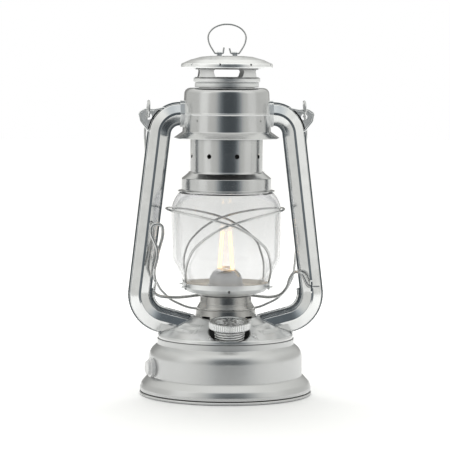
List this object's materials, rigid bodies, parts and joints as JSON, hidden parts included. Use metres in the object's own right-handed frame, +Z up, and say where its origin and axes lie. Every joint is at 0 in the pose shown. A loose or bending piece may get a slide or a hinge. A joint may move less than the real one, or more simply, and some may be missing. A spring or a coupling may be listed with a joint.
{
  "type": "barn lantern",
  "caption": "Battery-powered tubular barn lantern with lifting globe, sliding chimney, screw cap over the charging port, push switch, bail and lid ring.",
  "frame": {"origin": "centre of the base, on the plane that it stands on", "axes": "+Z up through the chimney, -Y to the front where the filler cap is, +X to the right-hand side tube"},
  "size_m": [0.153, 0.135, 0.2884],
  "materials": {
    "tinned_steel": "tin-plated sheet steel, satin with a faint brushed grain",
    "nickelled_brass": "plated turned and knurled metal, satin",
    "galvanised_wire": "drawn galvanised steel wire",
    "spring_steel": "bright zinc plate",
    "clear_glass": "clear pressed glass",
    "clear_lamp_cover": "clear moulded plastic",
    "warm_filament": "phosphor-coated filament, lit warm white",
    "pale_plastic": "pale grey moulded plastic, satin",
    "dark_plastic": "black moulded plastic",
    "cell_wrap": "shrink-wrapped cell",
    "circuit_board": "solder-masked board",
    "black_rubber": "moulded rubber",
    "lead_insulation": "PVC insulation"
  },
  "bodies": {
    "frame": {"base_pan": "tinned_steel", "base_screws": "spring_steel", "battery_cell": "cell_wrap", "battery_holder": "dark_plastic", "burner_dome": "tinned_steel", "burner_gallery": "tinned_steel", "burner_tube": "tinned_steel", "button_spring": "spring_steel", "charge_lead": "lead_insulation", "charging_socket": "spring_steel", "chimney_spring": "spring_steel", "control_board": "circuit_board", "filler_neck": "nickelled_brass", "filler_well": "tinned_steel", "hood": "tinned_steel", "lamp_envelope": "clear_lamp_cover", "lamp_filaments": "warm_filament", "lamp_leads": "lead_insulation", "lamp_socket": "dark_plastic", "lamp_stem": "clear_lamp_cover", "left_tube_back": "tinned_steel", "left_tube_collar": "tinned_steel", "left_tube_front": "tinned_steel", "left_tube_saddle": "tinned_steel", "lever_clip": "tinned_steel", "pan_bosses": "spring_steel", "port_insert": "dark_plastic", "right_tube_back": "tinned_steel", "right_tube_collar": "tinned_steel", "right_tube_front": "tinned_steel", "right_tube_saddle": "tinned_steel", "switch_bezel": "pale_plastic", "switch_body": "dark_plastic", "switch_lead": "lead_insulation", "tank_bowl": "tinned_steel", "tank_dome": "tinned_steel"},
    "globe_carrier": {"globe_plate": "tinned_steel", "globe": "clear_glass", "guard_wire_left": "galvanised_wire", "guard_wire_right": "galvanised_wire"},
    "chimney": {"chimney_cylinder": "tinned_steel", "globe_collar": "tinned_steel", "vent_ring": "tinned_steel", "lid": "tinned_steel", "lid_liner": "tinned_steel", "ring_loops": "tinned_steel"},
    "lid_ring": {"lid_ring": "galvanised_wire"},
    "lift_lever": {"lift_lever": "galvanised_wire"},
    "bail": {"bail": "galvanised_wire"},
    "cap_carrier": {"cap_seal": "black_rubber"},
    "filler_cap": {"filler_cap": "nickelled_brass"},
    "power_button": {"power_button": "pale_plastic"}
  },
  "joints": [
    {"name": "globe_lift", "type": "slide", "parent": "frame", "child": "globe_carrier", "axis": [0, 0, 1], "range_m": [0, 0.0055], "deforming": ["chimney_spring"]},
    {"name": "lever_lift", "type": "hinge", "parent": "frame", "child": "lift_lever", "pos_m": [0.0659, -0.0105, 0.0845], "axis": [0, 1, 0], "range_deg": [0, 4.8]},
    {"name": "chimney_lift", "type": "slide", "parent": "globe_carrier", "child": "chimney", "axis": [0, 0, 1], "range_m": [0, 0.01], "stiffness_N_per_m": 180, "springref_m": -0.02, "deforming": ["chimney_spring"]},
    {"name": "ring_fold", "type": "hinge", "parent": "chimney", "child": "lid_ring", "pos_m": [0, 0, 0.2652], "axis": [1, 0, 0], "range_deg": [-85, 85]},
    {"name": "bail_swing", "type": "hinge", "parent": "frame", "child": "bail", "pos_m": [0, 0, 0.222], "axis": [1, 0, 0], "range_deg": [0, 275]},
    {"name": "cap_rise", "type": "slide", "parent": "frame", "child": "cap_carrier", "axis": [0, -0.1392, 0.9903], "range_m": [0, 0.006]},
    {"name": "cap_turn", "type": "hinge", "parent": "cap_carrier", "child": "filler_cap", "pos_m": [0, -0.0386, 0.0454], "axis": [0, -0.1392, 0.9903], "range_deg": [0, 722]},
    {"name": "button_press", "type": "slide", "parent": "frame", "child": "power_button", "axis": [0.9659, 0.2588, 0], "range_m": [0, 0.0012], "stiffness_N_per_m": 600, "springref_m": -0.0015}
  ],
  "couplings": [
    {"joint": "lever_lift", "follows": "globe_lift", "rad_per_m": 15.175},
    {"joint": "cap_turn", "follows": "cap_rise", "rad_per_m": 2094.4}
  ]
}
